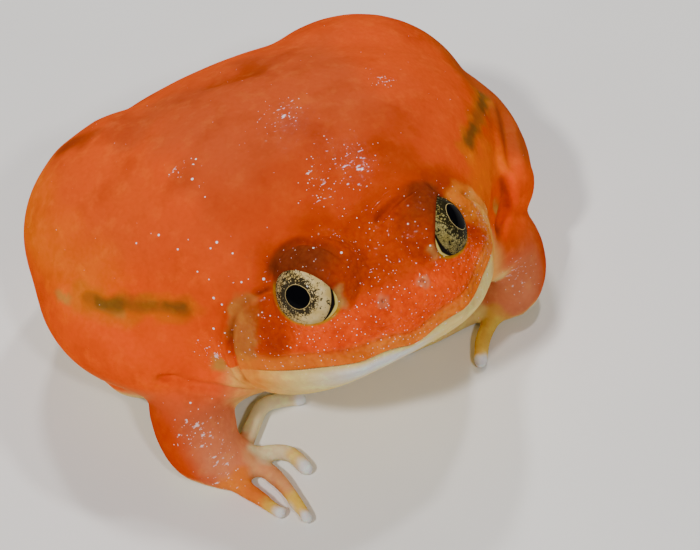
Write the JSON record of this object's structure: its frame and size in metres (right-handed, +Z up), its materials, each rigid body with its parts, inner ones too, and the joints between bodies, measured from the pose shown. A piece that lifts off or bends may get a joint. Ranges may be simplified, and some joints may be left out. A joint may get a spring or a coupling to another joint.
{
  "type": "tomato frog",
  "caption": "Life-size tomato frog at rest: an inflated, smooth-skinned frog crouching on its belly with folded hind legs and spread fingers.",
  "frame": {"origin": "bottom centre of the whole bounding box, on the floor under the body", "axes": "+Z up; the snout points along -Y; the frog's left side is +X"},
  "size_m": [0.072, 0.0672, 0.0386],
  "materials": {
    "skin": "wet, soft orange skin, glossy",
    "throat_skin": "damp, soft cream skin",
    "eye": "wet, glossy gold eye"
  },
  "bodies": {
    "root": {"head": "skin", "lower_jaw": "throat_skin", "torso": "skin", "eye_left": "eye", "eye_right": "eye", "upper_arm_left": "skin", "upper_arm_right": "skin", "forearm_left": "skin", "forearm_right": "skin", "hand_left": "skin", "hand_right": "skin", "thigh_left": "skin", "thigh_right": "skin", "shank_left": "skin", "shank_right": "skin", "foot_left": "skin", "foot_right": "skin"}
  },
  "joints": []
}
